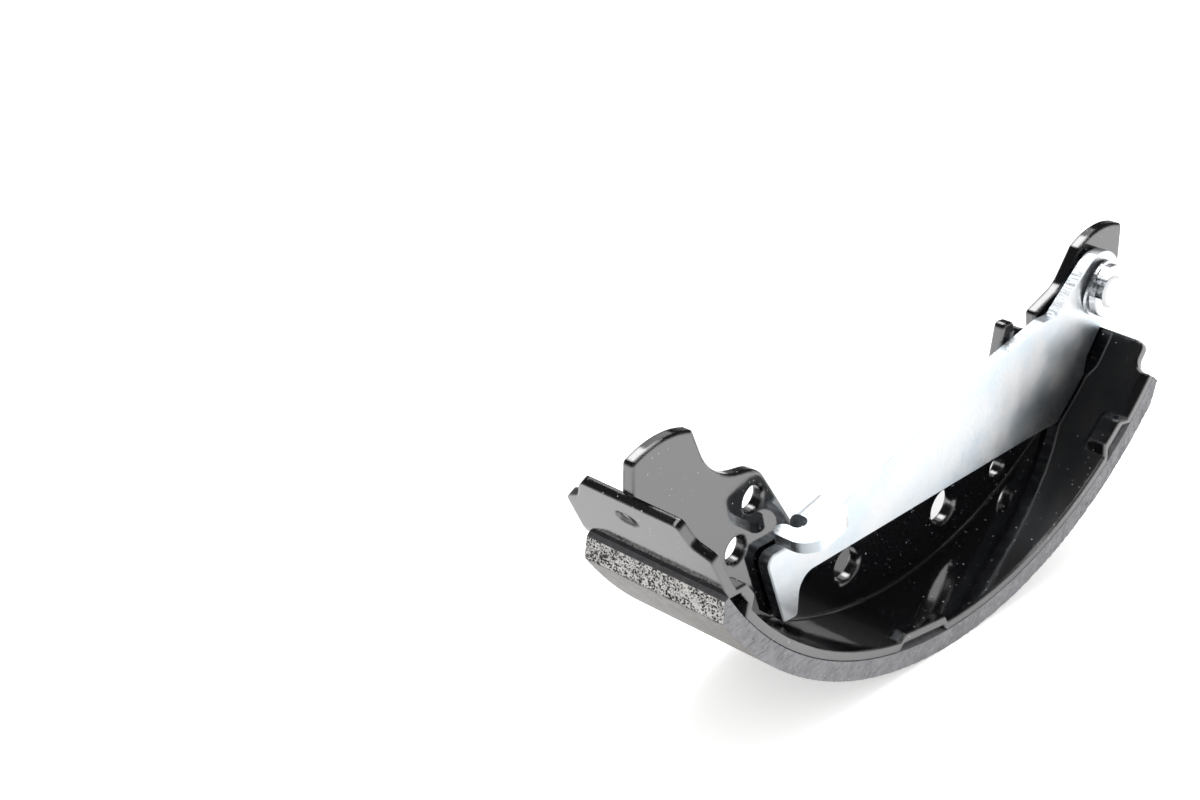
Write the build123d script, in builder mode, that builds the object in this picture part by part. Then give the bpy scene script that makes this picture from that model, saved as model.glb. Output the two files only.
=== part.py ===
from build123d import *

import os
from math import acos, asin, atan2, cos, degrees, hypot, radians, sin, sqrt

# Drum brake shoe with its parking-brake lever.
# Origin on the lining's face, straight below the drum axis and at the middle of
# the width. +Z up, +Y along the drum axis towards the backing plate, +X towards
# the end that carries the lever's pin. Millimetres.
#
# Points of the web and the lever are given as stations: an angle about the drum
# axis, from straight down and positive towards +X, and a depth inside the rim.

# ---- drum side -------------------------------------------------------------
drum_radius = 101.5
lining_thickness = 4.65
rim_thickness = 2.35
shoe_width = 40.0

# ---- lining ----------------------------------------------------------------
lining_setback = 1.3          # back edge of the lining, in from the rim's edge
lining_start = -56.2          # end face beside the tab
lining_end = 51.0
start_step = 1.3              # height of the straight part of each end face
end_step = 2.4
start_bevel = 2.2             # angle that each ground bevel runs over
end_bevel = 3.1

# ---- rim -----------------------------------------------------------------
rim_start = -57.0           # where the flat tab leaves the arc
rim_end = 55.1
rim_edge_bevel = 0.3
tab_lean = 5.0                # bent in from the arc's tangent
tab_length = 18.8
tab_shoulder = 10.6           # full width up to here, then the shoulders
tab_neck = 12.8               # end of the shoulders
tab_neck_width = 31.3
tab_width = 26.5              # at its free end
tab_offset = 0.8              # middle of its end, in front of the middle of the rim
tab_round = 2.0
tab_corner = 1.5
tab_hole = 2.5
tab_hole_place = 12.4
tab_hole_depth = 1.6
pit_length = 6.0              # shallow pit that runs back from the hole
pit_width = 3.6
pit_depth = 0.6
pit_slope = 30.0
end_width = 30.6              # narrow part of the far end
end_shoulder = 4.2            # angle from the end back to the full width
end_round = 3.0
end_corner = 2.0

# ---- ledges pressed into both edges of the rim ----------------------------
# angle, width and reach of the foot, and height of each
start_ledge = (-53.2, 11.0, 6.8, 2.7)
middle_ledge = (-7.4, 20.2, 5.6, 2.1)
end_ledge = (40.2, 13.2, 7.8, 3.0)
ledge_corner = 2.6
ledge_slope = 38.0            # lean of the ledges' sides from the radial
ledge_round = 0.7             # along the edge of each ledge's top

# ---- web -------------------------------------------------------------------
web_thickness = 3.0
web_offset = 0.75             # middle of the web, behind the middle of the rim
web_depth = 19.3              # at the middle of the shoe
web_edge_bevel = 0.45
hole_bevel = 0.6              # coined on the front, half as much on the back
start_overhang = 9.2          # side of the tip, out from the tab's root
hub_start = -26.3             # ends of the concave middle edge
hub_end = 27.0
hub_corner = 4.0
shoulder_hollow = 16.0        # radii of the shoulder beside the start tip
shoulder_crown = 9.0
bank_hollow = 9.0             # radius beside the pin's tip
tip_round = 1.2
slot_corner = 1.3
finger_corner = 2.2
spring_hole = 5.0
adjuster_hole = 6.5
strut_hole = 6.0
small_hole = 5.0
tool_hole = 8.5
anchor_hole = 6.1

# ---- corners of the web and places of its holes, as stations -----------------
start_tip_at = (-72.3, 2.6)
start_bulge_at = (-72.1, 11.8)
start_inside_at = (-69.1, 19.2)
start_bank_at = (-57.3, 18.4)
start_crown_at = (-48.3, 28.8)
finger_left_at = (43.6, 38.4)
finger_right_at = (45.8, 35.6)
slot_mouth_left_at = (45.2, 33.2)
slot_foot_left_at = (37.1, 22.8)
slot_foot_right_at = (43.2, 16.7)
slot_mouth_right_at = (50.4, 28.3)
end_bank_at = (57.9, 21.9)
end_inside_at = (65.6, 20.3)
end_bulge_at = (70.0, 12.6)
end_tip_at = (70.8, 3.9)
heel_at = (63.0, -1.6)
heel_middle_at = (58.9, -1.4)
spring_hole_at = (42.2, 9.6)
adjuster_hole_at = (50.3, 10.6)
strut_hole_at = (33.3, 21.4)
small_hole_at = (26.9, 5.7)
near_tool_hole_at = (13.2, 10.9)
far_tool_hole_at = (-11.6, 11.1)
inner_anchor_hole_at = (-44.8, 22.7)
outer_anchor_hole_at = (-42.2, 11.6)

# ---- pivot pin and what it holds ----------------------------------------------
pin_diameter = 8.0
pin_at = (60.3, 11.8)         # station
pin_head_diameter = 10.4
pin_head = 1.0
pin_collar_diameter = 13.0
pin_tail = 0.6                # beyond the clip
pin_chamfer = 0.6
rivet_fit = 0.02
bore_clearance = 0.06
lever_gap = 0.7               # web to lever, the height of the pin's collar
wave_diameter = 13.8
wave_thickness = 0.7
wave_lift = 1.1               # how far the washer's edge stands off the lever
wave_lean = 45.0              # its bend line, up from the level
clip_diameter = 13.0
clip_thickness = 1.9
clip_bevel = 0.25
clip_mouth = 4.6
clip_lean = 155.0             # where its mouth points
groove_depth = 0.7
running_clearance = 0.05

# ---- lever -----------------------------------------------------------------
lever_thickness = 3.0
lever_edge_bevel = 0.3
head_radius = 9.0
hook_height = 7.5             # top of the flap over the lever's edge
hook_bend = 1.0               # inside radius
hook_reach = 9.75             # flap's free edge, out from the lever's front
hook_start = 7.0              # flap's sides, along the lever's edge
hook_end = 22.3
ramp_start = 0.8
flap_corner = 4.5
flap_end_corner = 5.8
slot_start = 14.6             # slot for the cable's end
slot_width = 4.0
slot_floor = 3.6              # its bottom, out from the lever's front
prong_gap = 2.1               # prong's tip, out from the web's front
foot_clearance = 0.35         # foot to rim, at rest
foot_corner = 1.2
foot_hollow = 4.5
belly_clearance = 0.8

# ---- corners of the lever, as stations and angles -------------------------------
neck_at = (51.7, 25.0)
top_near_at = (49.2, 28.8)
top_middle_at = (5.3, 41.1)
hook_root_at = (-21.1, 28.8)
shin_at = (-30.5, 19.6)
toe_at = (-37.9, 12.8)
heel_low_at = (-24.6, 2.3)
heel_high_at = (-27.2, 11.4)
belly_left_at = (34.5, 6.3)
kink_at = (49.8, 3.3)
foot_angle = -27.2
belly_low_angle = 39.0
belly_middle_angle = 43.5
belly_high_angle = 47.5

# ---- sizes that follow -------------------------------------------------------
rim_outer = drum_radius - lining_thickness
rim_inner = rim_outer - rim_thickness
half_width = shoe_width / 2
web_back = web_offset + web_thickness / 2
web_front = web_back - web_thickness
lever_back = web_front - lever_gap
lever_front = lever_back - lever_thickness
pin_radius = pin_diameter / 2
groove_radius = pin_radius - groove_depth
clear_of_all = 2 * drum_radius


def at_angle(radius, angle):
    """Point (x, z) at an angle from straight down, positive towards +X."""
    return (radius * sin(radians(angle)), drum_radius - radius * cos(radians(angle)))


def station(angle, depth):
    """Point (x, z) at an angle and a depth inside the rim."""
    return at_angle(rim_inner - depth, angle)


def ahead(start, heading, length):
    """Point at a length from start along a heading in degrees."""
    turn = radians(heading)
    return (start[0] + length * cos(turn), start[1] + length * sin(turn))


def tangent_point(centre, radius, start, side):
    """Where a line from start touches a circle, passing left (1) or right (-1) of its centre."""
    across = centre[0] - start[0]
    rise = centre[1] - start[1]
    reach = hypot(across, rise)
    heading = degrees(atan2(rise, across)) + side * degrees(asin(radius / reach))
    return ahead(start, heading, sqrt(reach**2 - radius**2))


def nearest(sketch, point):
    """The corner of a sketch nearest to a point."""
    return sketch.vertices().sort_by_distance(point)[0]


def upright(back):
    """Plane across the drum axis at y = back, facing the front."""
    return Plane.XZ.offset(-back)


def radial_plane(angle, radius):
    """Plane facing the drum axis at an angle and a radius, with its x along the arc."""
    x, z = at_angle(radius, angle)
    along = (cos(radians(angle)), 0, sin(radians(angle)))
    inward = (-sin(radians(angle)), 0, cos(radians(angle)))
    return Plane(origin=(x, 0, z), x_dir=along, z_dir=inward)


pin_place = station(*pin_at)
outer_root = at_angle(rim_outer, rim_start)
tab_heading = rim_start + 180.0 - tab_lean
# where the tab's inner face, tab_reach from the drum axis, meets the rim's arc
tab_reach = rim_outer * cos(radians(tab_lean)) - rim_thickness
tab_root = at_angle(rim_inner, rim_start - tab_lean + degrees(acos(tab_reach / rim_inner)))


# ---- rim: rolled strip with a flat tab and pressed ledges -----------------------
with BuildPart() as rim:
    with BuildSketch(upright(half_width)):
        with BuildLine():
            outer = ThreePointArc(
                outer_root,
                at_angle(rim_outer, (rim_start + rim_end) / 2),
                at_angle(rim_outer, rim_end),
            )
            inner = ThreePointArc(
                at_angle(rim_inner, rim_end),
                at_angle(rim_inner, (rim_start + rim_end) / 2),
                tab_root,
            )
            Line(outer @ 1, inner @ 0)
            Line(inner @ 1, outer @ 0)
        make_face()
    extrude(amount=shoe_width)

    # far end: the corners step in
    with BuildSketch(radial_plane(rim_end, rim_outer + rim_thickness)) as end_corners:
        step_length = rim_inner * radians(end_shoulder)
        step_width = (shoe_width - end_width) / 2
        with Locations((0, half_width), (0, -half_width)):
            Rectangle(2 * step_length, 2 * step_width)
        fillet(end_corners.vertices().filter_by(lambda v: abs(v.Y) < half_width and v.X < 0), end_round)
    extrude(amount=3 * rim_thickness, mode=Mode.SUBTRACT)
    short_edges = rim.edges().filter_by(lambda e: e.length < 2 * rim_thickness)
    fillet(short_edges.filter_by(lambda e: abs(e.center().Y) < half_width).sort_by(Axis.Z)[-2:], end_corner)

    # ledges: raised on the inside, hollow on the outside, open at the edge
    for angle, foot, reach, height in (start_ledge, middle_ledge, end_ledge):
        with BuildSketch(radial_plane(angle, rim_inner + rim_thickness / 2)):
            with Locations((0, half_width), (0, -half_width)):
                RectangleRounded(foot, 2 * reach, ledge_corner)
        extrude(amount=height + rim_thickness / 2, taper=ledge_slope)
    for angle, foot, reach, height in (start_ledge, middle_ledge, end_ledge):
        with BuildSketch(radial_plane(angle, rim_outer + rim_thickness / 2)):
            with Locations((0, half_width), (0, -half_width)):
                RectangleRounded(foot, 2 * reach, ledge_corner)
        extrude(amount=height + rim_thickness / 2, taper=ledge_slope, mode=Mode.SUBTRACT)

    # flat tab, bent in a little from the arc's tangent
    tab_plane = Plane(
        origin=(outer_root[0], 0, outer_root[1]),
        x_dir=(cos(radians(tab_heading)), 0, sin(radians(tab_heading))),
        z_dir=(sin(radians(tab_heading)), 0, -cos(radians(tab_heading))),
    )
    with BuildSketch(tab_plane):
        with BuildLine():
            neck = tab_neck_width / 2
            tip = tab_width / 2
            FilletPolyline(
                (0, half_width),
                (tab_shoulder, half_width),
                (tab_neck, neck),
                (tab_length, tab_offset + tip),
                (tab_length, tab_offset - tip),
                (tab_neck, -neck),
                (tab_shoulder, -half_width),
                (0, -half_width),
                radius=[tab_round, tab_round, tab_corner, tab_corner, tab_round, tab_round],
            )
            Line((0, -half_width), (0, half_width))
        make_face()
    extrude(amount=rim_thickness)
    with BuildSketch(tab_plane):
        with Locations((tab_hole_place, -web_offset)):
            Circle(tab_hole / 2)
    extrude(amount=tab_hole_depth, mode=Mode.SUBTRACT)
    with BuildSketch(tab_plane):
        with Locations((tab_hole_place, -web_offset - (pit_length - pit_width) / 2)):
            SlotOverall(pit_length, pit_width, rotation=90)
    extrude(amount=pit_depth, taper=pit_slope, mode=Mode.SUBTRACT)

    # the ledges end flush with the rim's edges
    with BuildSketch(upright(half_width)):
        Circle(clear_of_all)
    extrude(amount=shoe_width, mode=Mode.INTERSECT)

    # each ledge's top is rounded off, and the rim's outlines are bevelled up to the tab
    for angle, foot, reach, height in (start_ledge, middle_ledge, end_ledge):
        top_plane = radial_plane(angle, rim_inner - height)
        tops = rim.faces().filter_by(top_plane).filter_by(
            lambda f: abs((f.center() - top_plane.origin).dot(top_plane.z_dir)) < ledge_round / 2
        )
        fillet(tops.edges().filter_by(lambda e: abs(e.center().Y) < half_width - ledge_round), ledge_round)
    before_tab = tab_root[0] + rim_thickness
    on_sides = rim.edges().filter_by(Plane.XZ).filter_by(
        lambda e: abs(e.center().Y) > half_width - rim_edge_bevel
    )
    chamfer(on_sides.filter_by(lambda e: e.center().X > before_tab), rim_edge_bevel)

rim.part.label = "rim"

# ---- lining: bonded arc with a ground bevel at each end ---------------------------
with BuildPart() as lining:
    with BuildSketch(upright(half_width - lining_setback)):
        with BuildLine():
            bed = ThreePointArc(
                at_angle(rim_outer, lining_start),
                at_angle(rim_outer, (lining_start + lining_end) / 2),
                at_angle(rim_outer, lining_end),
            )
            face = ThreePointArc(
                at_angle(drum_radius, lining_start + start_bevel),
                at_angle(drum_radius, (lining_start + lining_end) / 2),
                at_angle(drum_radius, lining_end - end_bevel),
            )
            Polyline(bed @ 0, at_angle(rim_outer + start_step, lining_start), face @ 0)
            Polyline(bed @ 1, at_angle(rim_outer + end_step, lining_end), face @ 1)
        make_face()
    extrude(amount=shoe_width - lining_setback)

lining.part.label = "lining"

# ---- web: one flat stamping that follows the rim and its tab ---------------------
start_side = tab_root[0] - start_overhang
start_foot = ahead(tab_root, tab_heading, -start_overhang / cos(radians(tab_heading)))
start_tip = station(*start_tip_at)
start_tip_inside = station(*start_inside_at)
end_tip_inside = station(*end_inside_at)
end_tip = station(*end_tip_at)
end_heel = station(*heel_at)
rim_meets_heel = at_angle(rim_inner, rim_end)
hub_left = station(hub_start, web_depth)
hub_right = station(hub_end, web_depth)
web_holes = [
    (station(*spring_hole_at), spring_hole),
    (station(*adjuster_hole_at), adjuster_hole),
    (station(*strut_hole_at), strut_hole),
    (station(*small_hole_at), small_hole),
    (station(*near_tool_hole_at), tool_hole),
    (station(*far_tool_hole_at), tool_hole),
    (station(*inner_anchor_hole_at), anchor_hole),
    (station(*outer_anchor_hole_at), anchor_hole),
    (pin_place, pin_diameter + 2 * rivet_fit),
]

with BuildPart() as web:
    with BuildSketch(upright(web_back)) as web_face:
        with BuildLine():
            ThreePointArc(tab_root, at_angle(rim_inner, 0), rim_meets_heel)
            ThreePointArc(rim_meets_heel, station(*heel_middle_at), end_heel)
            Line(end_heel, (end_heel[0], end_tip[1]))
            ThreePointArc((end_heel[0], end_tip[1]), station(*end_bulge_at), end_tip_inside)
            FilletPolyline(
                end_tip_inside,
                station(*end_bank_at),
                station(*slot_mouth_right_at),
                station(*slot_foot_right_at),
                station(*slot_foot_left_at),
                station(*slot_mouth_left_at),
                station(*finger_right_at),
                station(*finger_left_at),
                hub_right,
                radius=[
                    bank_hollow,
                    slot_corner,
                    slot_corner,
                    slot_corner,
                    0,
                    finger_corner,
                    slot_corner,
                ],
            )
            ThreePointArc(hub_right, at_angle(rim_inner - web_depth, 0), hub_left)
            FilletPolyline(
                hub_left,
                station(*start_crown_at),
                station(*start_bank_at),
                start_tip_inside,
                radius=[shoulder_crown, shoulder_hollow],
            )
            ThreePointArc(start_tip_inside, station(*start_bulge_at), (start_side, start_tip[1]))
            Polyline((start_side, start_tip[1]), start_foot, tab_root)
        make_face()
        fillet([nearest(web_face, hub_left), nearest(web_face, hub_right)], hub_corner)
        tips = [start_tip_inside, (start_side, start_tip[1]), end_tip_inside, (end_heel[0], end_tip[1])]
        fillet([nearest(web_face, tip) for tip in tips], tip_round)
        for place, diameter in web_holes:
            with Locations(place):
                Circle(diameter / 2, mode=Mode.SUBTRACT)
    extrude(amount=web_thickness)
    # both faces are bevelled along every edge but the seam, which starts at the tab's root
    for order, bevel in ((0, hole_bevel), (-1, hole_bevel / 2)):
        side = web.faces().sort_by(Axis.Y)[order]
        seam_corner = Vector(tab_root[0], side.center().Y, tab_root[1])
        outline = side.outer_wire().edges()
        chamfer(outline.filter_by(lambda e: e.distance_to(seam_corner) > web_edge_bevel), web_edge_bevel)
        side = web.faces().sort_by(Axis.Y)[order]
        chamfer([wire.edge() for wire in side.inner_wires()], bevel)

web.part.label = "web"

# ---- pivot pin: riveted into the web, with a collar for the lever and a clip groove ---
washer_face = lever_front - wave_thickness
wave_radius = (wave_diameter**2 / 4 + wave_lift**2) / (2 * wave_lift)
clip_back = washer_face - clip_diameter**2 / (8 * wave_radius) - running_clearance
clip_front = clip_back - clip_thickness
groove_back = clip_back + running_clearance
groove_front = clip_front - running_clearance
pin_front = groove_front - pin_tail

with BuildPart() as pivot_pin:
    with BuildSketch(upright(web_back + pin_head)):
        with Locations(pin_place):
            Circle(pin_head_diameter / 2)
    extrude(amount=pin_head)
    chamfer(pivot_pin.edges().sort_by(Axis.Y)[-1], pin_head / 2)
    with BuildSketch(upright(web_back)):
        with Locations(pin_place):
            Circle(pin_radius)
    extrude(amount=web_back - pin_front)
    chamfer(pivot_pin.edges().sort_by(Axis.Y)[0], pin_chamfer)
    with BuildSketch(upright(web_front)):
        with Locations(pin_place):
            Circle(pin_collar_diameter / 2)
    extrude(amount=lever_gap)
    with BuildSketch(upright(groove_back)):
        with Locations(pin_place):
            Circle(pin_radius)
            Circle(groove_radius, mode=Mode.SUBTRACT)
    extrude(amount=groove_back - groove_front, mode=Mode.SUBTRACT)

pivot_pin.part.label = "pivot_pin"

# ---- wave washer: a ring bent about one line across it ---------------------------------
bend_x, bend_z = pin_place
bend_line = (cos(radians(wave_lean)), 0, sin(radians(wave_lean)))
bend_plane = Plane(origin=(bend_x, lever_front, bend_z), x_dir=(0, -1, 0), z_dir=bend_line)

with BuildPart() as wave_washer:
    with BuildSketch(bend_plane.offset(-wave_diameter)):
        with Locations((wave_radius, 0)):
            Circle(wave_radius)
            Circle(wave_radius - wave_thickness, mode=Mode.SUBTRACT)
    extrude(amount=2 * wave_diameter)
    with BuildSketch(upright(lever_front)):
        with Locations(pin_place):
            Circle(wave_diameter / 2)
            Circle(pin_radius + bore_clearance, mode=Mode.SUBTRACT)
    extrude(amount=wave_thickness + wave_lift + wave_thickness, mode=Mode.INTERSECT)

wave_washer.part.label = "wave_washer"

# ---- retaining clip: an open ring in the pin's groove ----------------------------------
with BuildPart() as retaining_clip:
    with BuildSketch(upright(clip_back)) as clip_face:
        with Locations(pin_place):
            Circle(clip_diameter / 2)
            Circle(groove_radius + running_clearance, mode=Mode.SUBTRACT)
        with Locations(ahead(pin_place, clip_lean, clip_diameter / 2)):
            Rectangle(clip_diameter, clip_mouth, rotation=clip_lean, mode=Mode.SUBTRACT)
    extrude(amount=clip_thickness)
    chamfer(retaining_clip.faces().sort_by(Axis.Y)[0].edges(), clip_bevel)

retaining_clip.part.label = "retaining_clip"

# ---- lever: flat stamping with a hook bent towards the front ------------------------------
top_near = station(*top_near_at)
hook_root = station(*hook_root_at)
neck_corner = station(*neck_at)
hook_heading = degrees(atan2(hook_root[1] - top_near[1], hook_root[0] - top_near[0]))


def beside_hook(along, above):
    """Point (x, z) along the lever's edge from the hook's root and above that edge."""
    return ahead(ahead(hook_root, hook_heading, along), hook_heading - 90.0, above)


bend_start = hook_height - lever_thickness - hook_bend
belly_low = at_angle(rim_inner - belly_clearance, belly_low_angle)
belly_high = at_angle(rim_inner - belly_clearance, belly_high_angle)
kink = station(*kink_at)
foot_low = at_angle(rim_inner - foot_clearance, foot_angle)
bend_out = lever_front - hook_bend
bend_foot = beside_hook(slot_start, bend_start)
ramp_top = beside_hook(ramp_start + bend_start, bend_start)
fold_end = Vector(ramp_top[0], lever_front, ramp_top[1])
flap_foot = beside_hook(0, hook_height - lever_thickness)
flap_edge = hook_reach - lever_front
slot_bottom = slot_floor - lever_front
prong_tip = prong_gap - web_front
slot_round = 0.48 * slot_width
prong_round = 0.46 * (hook_end - slot_start - slot_width)
along_edge = (cos(radians(hook_heading)), 0, sin(radians(hook_heading)))
above_edge = (sin(radians(hook_heading)), 0, -cos(radians(hook_heading)))
bend_section = Plane(
    origin=(bend_foot[0], bend_out, bend_foot[1]),
    x_dir=(0, 1, 0),
    z_dir=(-along_edge[0], 0, -along_edge[2]),
)
flap_plane = Plane(origin=(flap_foot[0], 0, flap_foot[1]), x_dir=along_edge, z_dir=above_edge)

with BuildPart() as lever:
    with BuildSketch(upright(lever_back)) as lever_face:
        with BuildLine():
            top = ThreePointArc(top_near, station(*top_middle_at), hook_root)
            FilletPolyline(
                hook_root,
                beside_hook(ramp_start, 0),
                ramp_top,
                bend_foot,
                station(*shin_at),
                station(*toe_at),
                foot_low,
                station(*heel_low_at),
                station(*heel_high_at),
                station(*belly_left_at),
                belly_low,
                radius=[
                    0,
                    0,
                    0,
                    foot_corner,
                    2 * foot_corner,
                    foot_corner,
                    foot_corner,
                    foot_hollow,
                    0,
                ],
            )
            ThreePointArc(belly_low, at_angle(rim_inner - belly_clearance, belly_middle_angle), belly_high)
            Polyline(belly_high, kink, tangent_point(pin_place, head_radius, kink, -1), pin_place)
            Polyline(pin_place, tangent_point(pin_place, head_radius, neck_corner, 1), neck_corner)
            Line(neck_corner, top_near)
        make_face()
        with Locations(pin_place):
            Circle(head_radius)
            Circle(pin_radius + bore_clearance, mode=Mode.SUBTRACT)
    extrude(amount=lever_thickness)
    # its front is bevelled all round but at the fold
    front_edges = lever.faces().sort_by(Axis.Y)[0].edges()
    chamfer(front_edges.filter_by(lambda e: e.distance_to(fold_end) > lever_edge_bevel), lever_edge_bevel)

    # bend: a quarter turn about a line along the lever's edge
    with BuildSketch(bend_section) as bend_face:
        Circle(hook_bend + lever_thickness)
        Circle(hook_bend, mode=Mode.SUBTRACT)
        Rectangle(clear_of_all, clear_of_all, align=(Align.MIN, Align.MIN), mode=Mode.INTERSECT)
    extrude(amount=slot_start - ramp_start - bend_start)
    with BuildSketch(upright(lever_back)):
        with BuildLine():
            Polyline(
                ramp_top,
                beside_hook(hook_start, hook_height),
                beside_hook(0, hook_height),
                close=True,
            )
        make_face()
    extrude(amount=lever_back - bend_out, mode=Mode.SUBTRACT)

    # flap, with a slot for the cable's end that opens towards the web
    with BuildSketch(flap_plane):
        with BuildLine():
            FilletPolyline(
                (hook_start, -bend_out),
                (hook_start, flap_edge),
                (hook_end, flap_edge),
                (hook_end, prong_tip),
                (slot_start + slot_width, prong_tip),
                (slot_start + slot_width, slot_bottom),
                (slot_start, slot_bottom),
                (slot_start, -bend_out),
                radius=[
                    0,
                    flap_corner,
                    flap_end_corner,
                    prong_round,
                    prong_round,
                    slot_round,
                    slot_round,
                    0,
                ],
                close=True,
            )
        make_face()
    extrude(amount=lever_thickness)

lever.part.label = "lever"

os.makedirs("parts", exist_ok=True)
for piece in (rim, lining, web, pivot_pin, wave_washer, retaining_clip, lever):
    export_step(piece.part, f"parts/{piece.part.label}.step")
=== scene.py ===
# %% [markdown]
# # A drum brake shoe with its parking-brake lever
#
# A pressed steel web and rim are welded into a T-section, painted gloss black,
# and a friction lining is bonded round the outside. A zinc-plated lever hangs
# on a pin at one tip. The steel parts come from the CAD model, which keeps
# their sizes true, so this lesson is mostly about finishes: wet-looking paint,
# passivated zinc, torn metal where a die has cut it, and the coarse, gritty
# compound of the lining, which is modelled again here with real relief.

# %% Load the CAD model
from math import cos, radians, sin

import bmesh
import bpy
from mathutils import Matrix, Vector, noise


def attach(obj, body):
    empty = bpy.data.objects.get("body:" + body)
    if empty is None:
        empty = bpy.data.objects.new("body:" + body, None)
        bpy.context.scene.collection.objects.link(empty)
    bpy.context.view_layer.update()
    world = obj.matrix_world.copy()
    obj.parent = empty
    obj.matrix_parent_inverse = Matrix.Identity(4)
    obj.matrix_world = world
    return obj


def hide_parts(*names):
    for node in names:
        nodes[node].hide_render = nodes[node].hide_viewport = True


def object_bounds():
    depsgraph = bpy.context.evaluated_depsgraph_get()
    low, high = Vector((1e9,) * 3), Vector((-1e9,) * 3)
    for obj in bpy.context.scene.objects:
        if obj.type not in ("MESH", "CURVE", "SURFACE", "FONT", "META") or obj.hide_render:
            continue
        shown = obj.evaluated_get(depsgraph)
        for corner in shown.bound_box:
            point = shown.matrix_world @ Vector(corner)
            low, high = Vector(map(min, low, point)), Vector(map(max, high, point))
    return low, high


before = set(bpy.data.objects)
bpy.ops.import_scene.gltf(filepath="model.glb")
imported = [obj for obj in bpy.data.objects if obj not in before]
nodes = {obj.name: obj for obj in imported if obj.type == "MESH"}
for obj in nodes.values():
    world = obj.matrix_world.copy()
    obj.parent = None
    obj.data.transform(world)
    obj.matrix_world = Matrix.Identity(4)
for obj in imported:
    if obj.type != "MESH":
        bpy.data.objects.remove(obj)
cad_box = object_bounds()
MM = 0.001
print("CAD nodes:", ", ".join(sorted(nodes)))

# %% [markdown]
# ## The camera
#
# A long lens from a little way off keeps the two arcs of the rim nearly
# parallel. The camera is aimed with a direction vector and to_track_quat,
# which keeps its horizon level, instead of three angles that are hard to read.

# %% Camera
CAMERA_PLACE = Vector((-0.4235, -0.3109, 0.3226))
CAMERA_AIM = Vector((0.6443, 0.6135, -0.4565))
CAMERA_LENS = 78.36

camera_data = bpy.data.cameras.new("camera")
camera_data.lens = CAMERA_LENS
camera_data.sensor_width = 36
camera_data.clip_start = 0.01
camera = bpy.data.objects.new("camera", camera_data)
camera.location = CAMERA_PLACE
camera.rotation_euler = CAMERA_AIM.to_track_quat("-Z", "Y").to_euler()
bpy.context.scene.collection.objects.link(camera)
bpy.context.scene.camera = camera
print("camera:", round(CAMERA_PLACE.length, 3), "m from the lining")

# %% [markdown]
# ## Helpers for materials
#
# Every finish below is a tree of shader nodes. These helpers keep the cells
# readable. *add* makes a node with its settings and inputs in one line, and
# the four after it make the kinds that come up most.

# %% Node helpers


def add(tree, kind, inputs=None, **settings):
    """Adds a node. Inputs are values or the output sockets that feed them."""
    node = tree.nodes.new(kind)
    for name, value in settings.items():
        setattr(node, name, value)
    for name, value in (inputs or {}).items():
        if isinstance(value, bpy.types.NodeSocket):
            tree.links.new(value, node.inputs[name])
        else:
            node.inputs[name].default_value = value
    return node


def math(tree, operation, first, second=0.0, clamp=False):
    """One Math node, given back as its output."""
    inputs = {0: first, 1: second}
    node = add(tree, "ShaderNodeMath", inputs, operation=operation, use_clamp=clamp)
    return node.outputs[0]


def ramp(tree, value, low, high, to_low=0.0, to_high=1.0):
    """A Map Range node that runs smoothly between two values."""
    inputs = {"Value": value, "From Min": low, "From Max": high}
    inputs.update({"To Min": to_low, "To Max": to_high})
    node = add(tree, "ShaderNodeMapRange", inputs, interpolation_type="SMOOTHSTEP")
    return node.outputs["Result"]


def blend(tree, amount, first, second):
    """A colour mixed from two others."""
    inputs = {"Factor": amount, 6: first, 7: second}
    return add(tree, "ShaderNodeMix", inputs, data_type="RGBA").outputs[2]


def clouds(tree, place, scale, detail, roughness):
    """A noise texture, given back as its grey value."""
    inputs = {"Vector": place, "Scale": scale, "Detail": detail, "Roughness": roughness}
    return add(tree, "ShaderNodeTexNoise", inputs).outputs["Fac"]


print("helpers: add, math, ramp, blend, clouds")

# %% [markdown]
# The other helpers start a material or a node group, place a group in a
# material, and give a CAD node its finish. A CAD node keeps its mesh as it is,
# so its material goes into the slots of its object.

# %% Material helpers


def new_material(name):
    """An empty material with a Principled shader wired to its output."""
    material = bpy.data.materials.new(name)
    material.use_nodes = True
    tree = material.node_tree
    tree.nodes.clear()
    shader = add(tree, "ShaderNodeBsdfPrincipled")
    output = add(tree, "ShaderNodeOutputMaterial")
    tree.links.new(shader.outputs[0], output.inputs["Surface"])
    return material, tree, shader


def new_group(name, inputs, outputs):
    """A shader node group with named sockets, and the sockets of its two ends."""
    group = bpy.data.node_groups.new(name, "ShaderNodeTree")
    for socket, kind, value in inputs:
        kind = "NodeSocket" + kind
        made = group.interface.new_socket(socket, in_out="INPUT", socket_type=kind)
        if value is not None:
            made.default_value = value
    for socket in outputs:
        group.interface.new_socket(socket, in_out="OUTPUT", socket_type="NodeSocketFloat")
    source = group.nodes.new("NodeGroupInput")
    sink = group.nodes.new("NodeGroupOutput")
    return group, source.outputs, sink.inputs


def use(tree, group, inputs):
    """Places a node group in a material, and gives back its outputs."""
    return add(tree, "ShaderNodeGroup", inputs, node_tree=group).outputs


def dress(node_name, material):
    """Gives a CAD node its finish through the slots of its object."""
    for slot in nodes[node_name].material_slots:
        slot.link = "OBJECT"
        slot.material = material


print("helpers: new_material, new_group, use, dress")

# %% [markdown]
# ## Shared effects
#
# **Specks** scatters small dots: dust on the paint, and grains in the lining.
# A Voronoi texture gives each cell a random colour, so that one channel can
# choose which cells hold a speck and another how large it is.

# %% Specks
SPECK_SHARPNESS = 20.0

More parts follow.
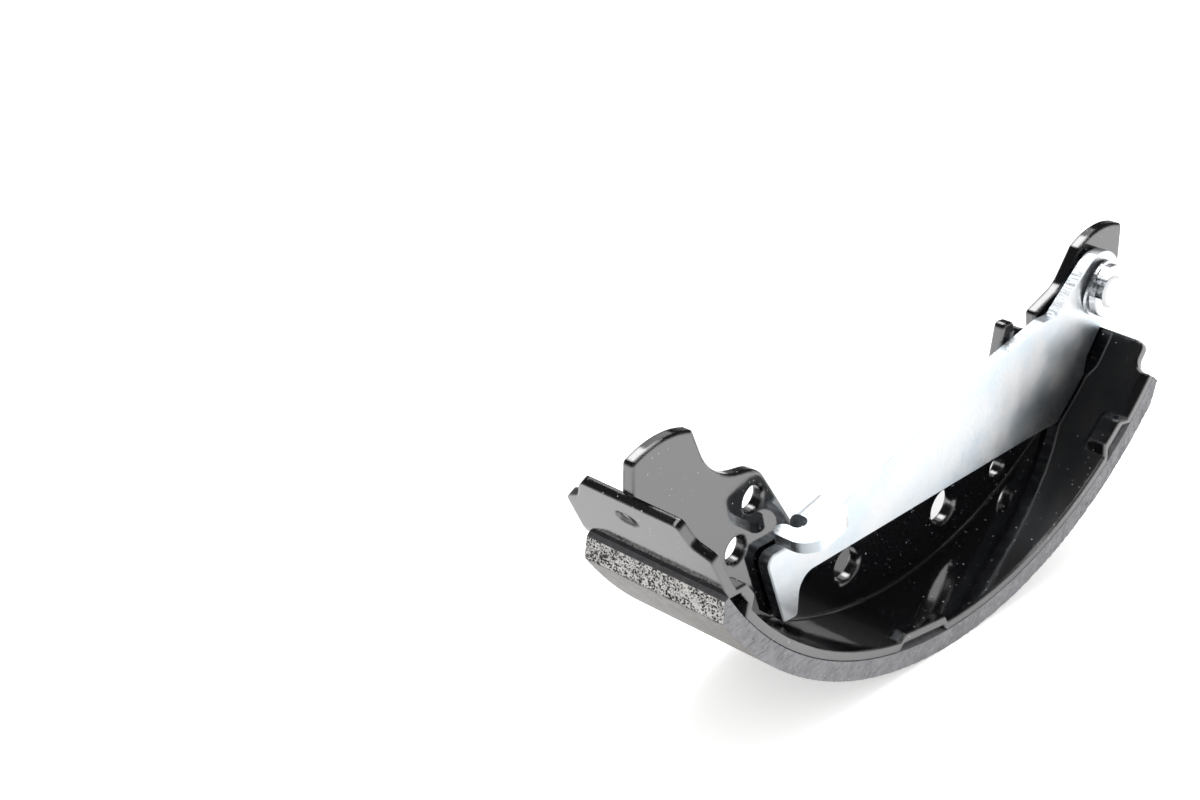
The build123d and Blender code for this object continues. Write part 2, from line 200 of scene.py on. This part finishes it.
specks, source, sink = new_group(
    "specks",
    [
        ("Vector", "Vector", None),
        ("Scale", "Float", 500.0),
        ("Share", "Float", 0.2),
        ("Size", "Float", 0.3),
    ],
    ["Mask"],
)
inputs = {"Vector": source["Vector"], "Scale": source["Scale"]}
cells = add(specks, "ShaderNodeTexVoronoi", inputs).outputs
channels = add(specks, "ShaderNodeSeparateColor", {"Color": cells["Color"]}).outputs
chosen = math(specks, "LESS_THAN", channels["Red"], source["Share"])
reach = math(specks, "MULTIPLY", channels["Green"], source["Size"])
inside = math(specks, "SUBTRACT", reach, cells["Distance"])
dot = math(specks, "MULTIPLY", inside, SPECK_SHARPNESS, clamp=True)
specks.links.new(math(specks, "MULTIPLY", dot, chosen), sink["Mask"])
print("group:", specks.name)

# %% [markdown]
# **Cut face** finds the narrow faces that a blanking die has sheared. They
# stand square to the plate, so the normal's Y part is small there. The lever's
# hook is folded forward, so in front of the plate the flat faces are the ones
# that look along *Fold*. The tumbled edges lie between the flat faces and the
# cut ones.

# %% Cut face: where it is
FOLD_FRONT = -4.6 * MM

cut_face, source, sink = new_group(
    "cut_face",
    [("Vector", "Vector", None), ("Normal", "Vector", None), ("Fold", "Vector", None)],
    ["Mask", "Edge", "Streak", "Tear"],
)
normal = add(cut_face, "ShaderNodeSeparateXYZ", {"Vector": source["Normal"]}).outputs
spot = add(cut_face, "ShaderNodeSeparateXYZ", {"Vector": source["Vector"]}).outputs
inputs = {0: source["Normal"], 1: source["Fold"]}
dot_product = add(cut_face, "ShaderNodeVectorMath", inputs, operation="DOT_PRODUCT")
along_fold = math(cut_face, "ABSOLUTE", dot_product.outputs["Value"])
in_front = math(cut_face, "LESS_THAN", spot["Y"], FOLD_FRONT)
on_fold = math(cut_face, "MULTIPLY", along_fold, in_front)
flatness = math(cut_face, "MAXIMUM", math(cut_face, "ABSOLUTE", normal["Y"]), on_fold)
cut_face.links.new(ramp(cut_face, flatness, 0.15, 0.45, 1.0, 0.0), sink["Mask"])
past_cut = ramp(cut_face, flatness, 0.2, 0.5)
before_flat = ramp(cut_face, flatness, 0.85, 0.98, 1.0, 0.0)
cut_face.links.new(math(cut_face, "MULTIPLY", past_cut, before_flat), sink["Edge"])
print("group:", cut_face.name)

# %% [markdown]
# A die first burnishes the steel and then tears it, which leaves streaks along
# the thickness and a rougher band. The streaks are noise that is looked up at
# a place squeezed along Y, so that the noise itself comes out stretched there.

# %% Cut face: how it looks
inputs = {0: source["Vector"], 1: (1.0, 0.12, 1.0)}
squeezed = add(cut_face, "ShaderNodeVectorMath", inputs, operation="MULTIPLY").outputs[0]
cut_face.links.new(clouds(cut_face, squeezed, 1100.0, 2.0, 0.6), sink["Streak"])
ragged = clouds(cut_face, source["Vector"], 900.0, 4.0, 0.7)
cut_face.links.new(ramp(cut_face, ragged, 0.42, 0.62), sink["Tear"])
print("outputs:", ", ".join(socket.name for socket in sink if socket.name))

# %% [markdown]
# ## Gloss black paint
#
# The shoe is dipped and baked. The paint levels into a deep, wet gloss that
# mirrors a white studio as mid grey and everything dark as black. A high IOR
# gives the bare surface that strength, and the base colour stays nearly black,
# so the reflections carry the whole look. Paint rounds every edge that it
# covers, and a Bevel node does that to the normals. A faint orange peel and a
# few nibs keep the mirror from being perfect.

# %% Paint: its surface
PAINT_IOR = 2.5
PAINT_ROUNDING = 0.9 * MM

paint, tree, shader = new_material("gloss_black_paint")
here = add(tree, "ShaderNodeTexCoord").outputs["Object"]
shader.inputs["IOR"].default_value = PAINT_IOR
peel = clouds(tree, here, 260.0, 2.0, 0.5)
nibs = use(tree, specks, {"Vector": here, "Scale": 900.0, "Share": 0.05, "Size": 0.22})
height = math(tree, "ADD", peel, math(tree, "MULTIPLY", nibs["Mask"], 0.6))
rounded = add(tree, "ShaderNodeBevel", {"Radius": PAINT_ROUNDING}, samples=4).outputs[0]
inputs = {"Height": height, "Strength": 0.035, "Distance": 0.4 * MM, "Normal": rounded}
tree.links.new(add(tree, "ShaderNodeBump", inputs).outputs[0], shader.inputs["Normal"])
print("paint: IOR", PAINT_IOR)

# %% [markdown]
# Dust has settled on the paint in drifts. The same slow haze that gathers it
# also makes the gloss a little duller from place to place.

# %% Paint: its colour and dust
PAINT_BLACK = (0.004, 0.004, 0.005, 1)
DUST_GREY = (0.55, 0.57, 0.6, 1)

haze = clouds(tree, here, 38.0, 5.0, 0.6)
dots = use(tree, specks, {"Vector": here, "Scale": 1500.0, "Share": 0.13, "Size": 0.36})
dust = math(tree, "MULTIPLY", dots["Mask"], ramp(tree, haze, 0.45, 0.62))
colour = blend(tree, math(tree, "MULTIPLY", dust, 0.85), PAINT_BLACK, DUST_GREY)
tree.links.new(colour, shader.inputs["Base Color"])
gloss = ramp(tree, haze, 0.35, 0.7, 0.06, 0.10)
rough = math(tree, "ADD", gloss, math(tree, "MULTIPLY", dust, 0.4))
tree.links.new(rough, shader.inputs["Roughness"])
for name in ("rim", "web"):
    dress(name, paint)
print("painted the rim and the web")

# %% [markdown]
# ## Zinc plate
#
# The lever is plated with bright zinc and a blue passivation. Its pin, spring
# washer and clip have a whiter, shinier plate. The flat faces keep the satin of
# the rolled sheet, the cut faces are darker and streaked, and the tumbled edges
# between the two are dull and pale. The shader is a metal whose roughness and
# tint wander slowly, over a sheet that is grainy and slightly wavy.

# %% Zinc
HOOK_FOLD = (0.256, 0.0, -0.967)
NO_FOLD = (0.0, 0.0, 0.0)
BLUE_TINT = (0.76, 0.85, 0.92, 1)
WHITE_TINT = (0.84, 0.87, 0.90, 1)
CLEAR_ZINC = (0.93, 0.94, 0.95, 1)
TORN_ZINC = (0.30, 0.33, 0.37, 1)


def zinc_finish(name, tint, low, high, wear, fold):
    """Bright zinc: its tint, range of roughness, darkness of the cut faces and fold."""
    zinc, tree, shader = new_material(name)
    place = add(tree, "ShaderNodeTexCoord").outputs
    here = place["Object"]
    drift = clouds(tree, here, 60.0, 6.0, 0.6)
    grain = clouds(tree, here, 1100.0, 3.0, 0.7)
    waves = clouds(tree, here, 70.0, 2.0, 0.5)
    cut = use(tree, cut_face, {"Vector": here, "Normal": place["Normal"], "Fold": fold})
    torn = math(tree, "MULTIPLY", cut["Tear"], 0.35)
    torn = math(tree, "ADD", torn, ramp(tree, cut["Streak"], 0.44, 0.56), clamp=True)
    dark = math(tree, "MULTIPLY", cut["Mask"], math(tree, "MULTIPLY", torn, wear))
    tinted = blend(tree, ramp(tree, drift, 0.35, 0.65), tint, CLEAR_ZINC)
    tree.links.new(blend(tree, dark, tinted, TORN_ZINC), shader.inputs["Base Color"])
    tree.links.new(math(tree, "SUBTRACT", 1.0, cut["Edge"]), shader.inputs["Metallic"])
    dull = math(tree, "MULTIPLY", cut["Edge"], 0.3)
    dull = math(tree, "ADD", math(tree, "MULTIPLY", dark, 0.2), dull)
    rough = math(tree, "ADD", ramp(tree, drift, 0.3, 0.7, low, high), dull)
    tree.links.new(rough, shader.inputs["Roughness"])
    streak = math(tree, "MULTIPLY", cut["Streak"], cut["Mask"])
    height = math(tree, "ADD", math(tree, "MULTIPLY", streak, 2.0), grain)
    inputs = {"Height": waves, "Strength": 0.2, "Distance": 1.0 * MM}
    wavy = add(tree, "ShaderNodeBump", inputs).outputs[0]
    inputs = {"Height": height, "Strength": 0.2, "Distance": 0.3 * MM, "Normal": wavy}
    tree.links.new(add(tree, "ShaderNodeBump", inputs).outputs[0], shader.inputs["Normal"])
    return zinc


dress("lever", zinc_finish("blue_zinc", BLUE_TINT, 0.29, 0.40, 0.4, HOOK_FOLD))
small_zinc = zinc_finish("white_zinc", WHITE_TINT, 0.18, 0.30, 0.3, NO_FOLD)
for name in ("pivot_pin", "wave_washer", "retaining_clip"):
    dress(name, small_zinc)
print("plated the lever and what holds it")

# %% [markdown]
# ## The lining
#
# The lining is pressed from resin, fibre, rubber crumb and metal chips, bonded
# to the rim and ground to the drum's curve. The grinding of its slanted ends
# tears grains out, and that coarse relief stands out in outline, so a bump map
# is not enough. The lining is made again here as a block cut into a fine grid,
# bent round the drum's axis, and then pitted by noise that only pushes inwards,
# so that it never grows past the size of the CAD solid.

# %% Block with a grid on it
ALONG, ACROSS, UP = 0, 1, 2


def cut_along(shape, axis, cuts):
    """Adds evenly spaced cuts across every edge that runs along an axis."""
    along = [e for e in shape.edges if abs((e.verts[1].co - e.verts[0].co)[axis]) > 1e-6]
    bmesh.ops.subdivide_edges(shape, edges=along, cuts=cuts, use_grid_fill=True)


block = bmesh.new()
bmesh.ops.create_cube(block, size=1.0)
for axis, cuts in ((ALONG, 299), (ACROSS, 63), (UP, 11)):
    cut_along(block, axis, cuts)
print("block:", len(block.faces), "faces")

# %% [markdown]
# The end faces and the two sides need a closer grid than the outside, because
# their grains are only a few tenths of a millimetre across. Faces are chosen by
# their normal and cut again. Where a cut edge meets a face that is left alone,
# the operator gives that face the extra corners, so the block stays closed.

# %% Closer grid on the ends and the sides
block.normal_update()
for axis, cuts in ((ALONG, 3), (ACROSS, 1)):
    near = [f for f in block.faces if abs(f.normal[axis]) > 0.9]
    edges = {e for f in near for e in f.edges}
    bmesh.ops.subdivide_edges(block, edges=list(edges), cuts=cuts, use_grid_fill=True)
print("block:", len(block.faces), "faces")

# %% [markdown]
# Bending maps the block's three axes to the angle round the drum, the width and
# the radius. Each end starts as a straight step beside the rim and then slants.
# *around* gives the two directions that everything on a drum is measured in.

# %% The lining's sizes
DRUM_RADIUS = 101.5 * MM
DRUM_AXIS = Vector((0.0, 0.0, DRUM_RADIUS))
LINING_INNER = 96.85 * MM
THICKNESS = DRUM_RADIUS - LINING_INNER
LINING_FRONT = -20.0 * MM
LINING_BACK = 18.7 * MM
END_ANGLE = {"start": -56.2, "end": 51.0}
END_SLANT = {"start": 2.2, "end": -3.1}
END_STEP = {"start": 1.3 * MM, "end": 2.4 * MM}
END_INWARD = {"start": 1, "end": -1}


def around(turn):
    """The outward and the forward direction at an angle round the drum's axis."""
    return Vector((sin(turn), 0.0, -cos(turn))), Vector((cos(turn), 0.0, sin(turn)))


def end_angle(end, height):
    """Angle of an end face at a height over the rim."""
    slant = max(0.0, height - END_STEP[end]) / (THICKNESS - END_STEP[end])
    return END_ANGLE[end] + END_SLANT[end] * slant


print("lining:", round(THICKNESS / MM, 2), "mm thick")

# %% [markdown]
# The same pass works out the pits. **Grit** is layered noise that is sharpened
# so that it has flat tops and deep, narrow pits, as torn grains leave. The
# slanted ends are torn deeply. The sides have low, slanting bumps from the
# mould. The outside is ground nearly smooth, and has crumbled a little where it
# meets the ends. Each place also remembers its skin and the depth of its pit,
# which the shader turns into painted shade.

# %% Bend and pit
TORN_SCALE, TORN_DEPTH = 2300.0, 0.5 * MM
MOULD_SCALE, MOULD_DEPTH = 950.0, 0.15 * MM
GROUND_SCALE, GROUND_DEPTH = 1900.0, 0.03 * MM
CRUMBLED_DEPTH = 0.35 * MM
CRUMBLED_SHARE = 1 / 300
STEP_SHADE = 0.42
SHALLOW_SHADE = 0.22
GROUND_SKIN, TORN_SKIN = 1.0, 2.0
TINY = 1e-5


def grit(place, scale):
    """0 on the flat tops and up to 1 in the pits."""
    coarse = noise.noise(place * scale)
    fine = noise.noise(place * scale * 2.7 + Vector((7.0, 3.0, 1.0)))
    lumps = noise.noise(place * scale * 0.3)
    return min(1.0, max(0.0, (coarse + 0.8 * fine + 0.45 * lumps + 0.12) * 1.4))


# This layer holds the pit depth of each place, or a fixed amount on the end steps; the shader
# paints it as shade.
pit_shade_layer = block.verts.layers.float.new("pit")
skin_layer = block.verts.layers.float.new("ground")
for vert in block.verts:
    along, across, up = vert.co.x + 0.5, vert.co.y + 0.5, vert.co.z + 0.5
    height = up * THICKNESS
    first, last = end_angle("start", height), end_angle("end", height)
    turn = radians(first + along * (last - first))
    width = LINING_FRONT + across * (LINING_BACK - LINING_FRONT)
    outward, forward = around(turn)
    place = DRUM_AXIS + outward * (LINING_INNER + height) + Vector((0.0, width, 0.0))
    end = "start" if along < 0.5 else "end"
    at_end = along < TINY or along > 1 - TINY
    pit = 0.0
    if at_end and height > END_STEP[end] * 1.02:
        pit = grit(place, TORN_SCALE)
        place += forward * (TORN_DEPTH * pit * END_INWARD[end])
        vert[skin_layer] = TORN_SKIN
    elif at_end:
        pit = STEP_SHADE
    if across < TINY or across > 1 - TINY:
        slanting = Vector((turn * DRUM_RADIUS + height * 0.8, width, height * 0.35))
        bump = grit(slanting, MOULD_SCALE)
        pit = max(pit, SHALLOW_SHADE * bump)
        place.y += MOULD_DEPTH * bump * (1 if across < 0.5 else -1)
    if up > 1 - TINY:
        scratch = grit(place, GROUND_SCALE)
        from_end = 0.0 if at_end else min(along, 1 - along)
        crumbled = max(0.0, 1.0 - from_end / CRUMBLED_SHARE)
        pit = max(pit, SHALLOW_SHADE * scratch)
        place -= outward * ((GROUND_DEPTH + crumbled * CRUMBLED_DEPTH) * scratch)
        vert[skin_layer] = GROUND_SKIN
    vert[pit_shade_layer] = pit
    vert.co = place
print("bent the block through", round(END_ANGLE["end"] - END_ANGLE["start"], 1), "degrees")

# %% [markdown]
# The block is now a mesh object. It rides on the shoe's body, is filled with
# friction compound, and stands in for the plain lining of the CAD model.

# %% Lining piece


def to_object(name, shape):
    """Turns a bmesh into an object in the scene."""
    mesh = bpy.data.meshes.new(name)
    shape.to_mesh(mesh)
    shape.free()
    item = bpy.data.objects.new(name, mesh)
    bpy.context.scene.collection.objects.link(item)
    return item


def triangles(item):
    """How many triangles the faces of an object make."""
    return sum(len(p.vertices) - 2 for p in item.data.polygons)


bmesh.ops.recalc_face_normals(block, faces=block.faces)
lining = to_object("lining_relief", block)
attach(lining, "shoe")
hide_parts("lining")
print("lining:", triangles(lining), "triangles")

# %% [markdown]
# ## The weld seam
#
# The web is resistance welded to the rim, and paint gathers in the corner
# between them. A thin bead catches the light there as a bright line. On each
# side of the web it is a circle, spun part of the way round the drum's axis and
# closed at both ends.

# %% Seam beads
RIM_INNER = 94.5 * MM
WEB_FRONT = -0.75 * MM
WEB_BACK = 2.25 * MM
BEAD_RADIUS = 0.55 * MM
BEAD_FIRST, BEAD_LAST = radians(-38.0), radians(49.0)
BEAD_STEPS = 120
CIRCLE_SIDES = 12


def circle(shape, place, axis, radius):
    """The corners and edges of a circle that stands across an axis."""
    turned = Vector(axis).to_track_quat("Z", "Y").to_matrix().to_4x4()
    turned.translation = place
    made = bmesh.ops.create_circle(
        shape, segments=CIRCLE_SIDES, radius=radius, matrix=turned
    )
    corners = made["verts"]
    return corners + list({e for v in corners for e in v.link_edges})


seam = bmesh.new()
outward, forward = around(BEAD_FIRST)
for side in (WEB_FRONT, WEB_BACK):
    corner = DRUM_AXIS + outward * RIM_INNER + Vector((0, side, 0))
    bead = circle(seam, corner, forward, BEAD_RADIUS)
    sweep = {"cent": DRUM_AXIS, "axis": (0, -1, 0), "angle": BEAD_LAST - BEAD_FIRST}
    bmesh.ops.spin(seam, geom=bead, steps=BEAD_STEPS, **sweep)
    open_edges = [e for e in seam.edges if e.is_boundary]
    bmesh.ops.holes_fill(seam, edges=open_edges, sides=CIRCLE_SIDES)
print("beads:", len(seam.faces), "faces")

# %% [markdown]
# The weld melts small projections, and each leaves a nib in the corner. It is a
# ring that leans halfway between the rim and the web, spun the whole way round.

# %% Weld nibs
NIB_ANGLES = (-6.7, 23.3)
NIB_RADIUS = 1.1 * MM
NIB_WALL = 0.42 * MM
NIB_LIFT = 0.15 * MM
NIB_STEPS = 24

for angle in NIB_ANGLES:
    outward, forward = around(radians(angle))
    axis = (-outward + Vector((0, -1, 0))).normalized()
    middle = DRUM_AXIS + outward * (RIM_INNER - NIB_LIFT)
    middle += Vector((0, WEB_FRONT - NIB_LIFT, 0))
    nib = circle(seam, middle + forward * NIB_RADIUS, axis.cross(forward), NIB_WALL)
    sweep = {"cent": middle, "axis": axis, "angle": radians(360), "use_merge": True}
    bmesh.ops.spin(seam, geom=nib, steps=NIB_STEPS, **sweep)
bmesh.ops.recalc_face_normals(seam, faces=seam.faces)
for face in seam.faces:
    face.smooth = True
weld = to_object("weld_seam", seam)
weld.data.materials.append(paint)
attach(weld, "shoe")
print("seam:", triangles(weld), "triangles")

# %% [markdown]
# ## The friction compound
#
# Grinding opens pale, bright grains, and the moulded sides keep a darker skin.
# The bending pass left a number called *ground* on the mesh, which says whether
# a place is moulded (0), ground (1) or torn (2). Each skin has two tones of its
# own, mixed by the same noise.

# %% Friction compound: its three skins
MOULDED = (0.23, 0.23, 0.245, 1), (0.30, 0.30, 0.315, 1)
GROUND = (0.215, 0.207, 0.196, 1), (0.275, 0.265, 0.254, 1)
TORN = (0.50, 0.49, 0.475, 1), (0.66, 0.65, 0.63, 1)

compound, tree, shader = new_material("friction_compound")
here = add(tree, "ShaderNodeTexCoord").outputs["Object"]
skin = add(tree, "ShaderNodeAttribute", attribute_name="ground").outputs["Fac"]
grains = clouds(tree, here, 420.0, 6.0, 0.7)
mottle = ramp(tree, grains, 0.35, 0.65)
moulded, ground, torn = (blend(tree, mottle, *tones) for tones in (MOULDED, GROUND, TORN))
body = blend(tree, ramp(tree, skin, 0.3, 0.7), moulded, ground)
body = blend(tree, ramp(tree, skin, 1.3, 1.7), body, torn)
print("compound: 3 skins")

# %% [markdown]
# Pale fibres and black rubber are scattered over all three. The other number,
# *pit*, comes last. It paints shade into the bottoms of the pits, where little
# light reaches, and darkens the low step at each end.

# %% Friction compound: its specks and pits
PALE_SPECK = (0.62, 0.62, 0.61, 1)
BLACK_SPECK = (0.05, 0.05, 0.05, 1)
# Colour of the painted shade in the pits and on the end steps.
PAINTED_PIT_SHADE = (0.02, 0.02, 0.021, 1)

pale = use(tree, specks, {"Vector": here, "Scale": 1500.0, "Share": 0.35, "Size": 0.5})
black = use(tree, specks, {"Vector": here, "Scale": 1300.0, "Share": 0.25, "Size": 0.5})
body = blend(tree, math(tree, "MULTIPLY", pale["Mask"], 0.2), body, PALE_SPECK)
body = blend(tree, math(tree, "MULTIPLY", black["Mask"], 0.3), body, BLACK_SPECK)
# Painted shade: the pit number mixes the colour towards near black.
pit = add(tree, "ShaderNodeAttribute", attribute_name="pit").outputs["Fac"]
body = blend(tree, ramp(tree, pit, 0.12, 0.6, 0.0, 0.92), body, PAINTED_PIT_SHADE)
tree.links.new(body, shader.inputs["Base Color"])
shader.inputs["Roughness"].default_value = 0.55
inputs = {"Height": grains, "Strength": 0.35, "Distance": 0.2 * MM}
tree.links.new(add(tree, "ShaderNodeBump", inputs).outputs[0], shader.inputs["Normal"])
lining.data.materials.append(compound)
dress("lining", compound)
print("dressed the lining")

# %% [markdown]
# ## Floor and light
#
# The shoe stands on a plain white sweep. Gloss black shows only what it
# reflects, so the surroundings are its real finish. The paper glows a little
# for the camera, so that its white stays even and the shadow stays light. In
# reflections it turns dark with distance, as if a white table ended there,
# which keeps the inside of the rim black.

# %% Floor
FLOOR_SIZE = 6.0
PAPER_WHITE = (0.92, 0.92, 0.92, 1)
PAST_THE_TABLE = (0.06, 0.06, 0.06, 1)
CAMERA_GLOW = 0.48
MIRROR_GLOW = 0.12

shape = bmesh.new()
bmesh.ops.create_grid(shape, x_segments=1, y_segments=1, size=FLOOR_SIZE / 2)
floor = to_object("floor", shape)
floor.location.z = cad_box[0][2]

paper, tree, shader = new_material("white_sweep")
shader.inputs["Roughness"].default_value = 0.6
shader.inputs["Specular IOR Level"].default_value = 0.0
shader.inputs["Emission Color"].default_value = (1, 1, 1, 1)
rays = add(tree, "ShaderNodeLightPath").outputs
seen = math(tree, "MULTIPLY", rays["Is Camera Ray"], CAMERA_GLOW)
glow = math(tree, "ADD", seen, math(tree, "MULTIPLY", rays["Is Glossy Ray"], MIRROR_GLOW))
tree.links.new(glow, shader.inputs["Emission Strength"])
inputs = {0: add(tree, "ShaderNodeTexCoord").outputs["Object"]}
away = add(tree, "ShaderNodeVectorMath", inputs, operation="LENGTH").outputs["Value"]
far = math(tree, "MULTIPLY", ramp(tree, away, 0.35, 1.0), rays["Is Glossy Ray"])
tree.links.new(blend(tree, far, PAPER_WHITE, PAST_THE_TABLE), shader.inputs["Base Color"])
floor.data.materials.append(paper)
print("floor:", FLOOR_SIZE, "m wide")

# %% [markdown]
# Two softboxes light the shoe: one overhead, and a dimmer one behind it that
# brightens the plated edges. They are weak enough that a colour renders about
# as it is written.

# %% Softboxes
SHOE_MIDDLE = Vector((0.0, 0.0, 0.04))
BOX_SIZE = 0.9


def softbox(name, place, power):
    """A square area lamp aimed at the shoe."""
    lamp = bpy.data.lights.new(name, "AREA")
    lamp.shape = "RECTANGLE"
    lamp.size = BOX_SIZE
    lamp.size_y = BOX_SIZE
    lamp.energy = power
    item = bpy.data.objects.new(name, lamp)
    item.location = place
    item.rotation_euler = (SHOE_MIDDLE - Vector(place)).to_track_quat("-Z", "Y").to_euler()
    bpy.context.scene.collection.objects.link(item)
    print(name, power, "W")


softbox("overhead_box", (0.22, 0.3, 1.15), 10)
softbox("back_box", (0.43, 0.74, 0.85), 2)

# %% [markdown]
# The world is white to the camera. It lights the shoe softly from all sides,
# and reflections show it as a dim band round the horizon, under a dark ceiling.

# %% World
SOFT_LIGHT = 0.85
HORIZON, CEILING = 0.3, 0.03

world = bpy.data.worlds.new("studio")
world.use_nodes = True
tree = world.node_tree
tree.nodes.clear()
rays = add(tree, "ShaderNodeLightPath").outputs
inputs = {"Vector": add(tree, "ShaderNodeTexCoord").outputs["Generated"]}
direction = add(tree, "ShaderNodeSeparateXYZ", inputs).outputs
walls = ramp(tree, direction["Z"], 0.0, 0.3, HORIZON, CEILING)
mirrored = math(tree, "MULTIPLY", rays["Is Glossy Ray"], walls)
soft = math(tree, "MULTIPLY", rays["Is Diffuse Ray"], SOFT_LIGHT)
unseen = math(tree, "MAXIMUM", mirrored, soft)
inputs = {"Color": (1, 1, 1, 1), "Strength": math(tree, "MAXIMUM", rays["Is Camera Ray"], unseen)}
background = add(tree, "ShaderNodeBackground", inputs)
output = add(tree, "ShaderNodeOutputWorld")
tree.links.new(background.outputs[0], output.inputs["Surface"])
bpy.context.scene.world = world
bpy.context.scene.view_settings.view_transform = "Standard"
print("world:", world.name)
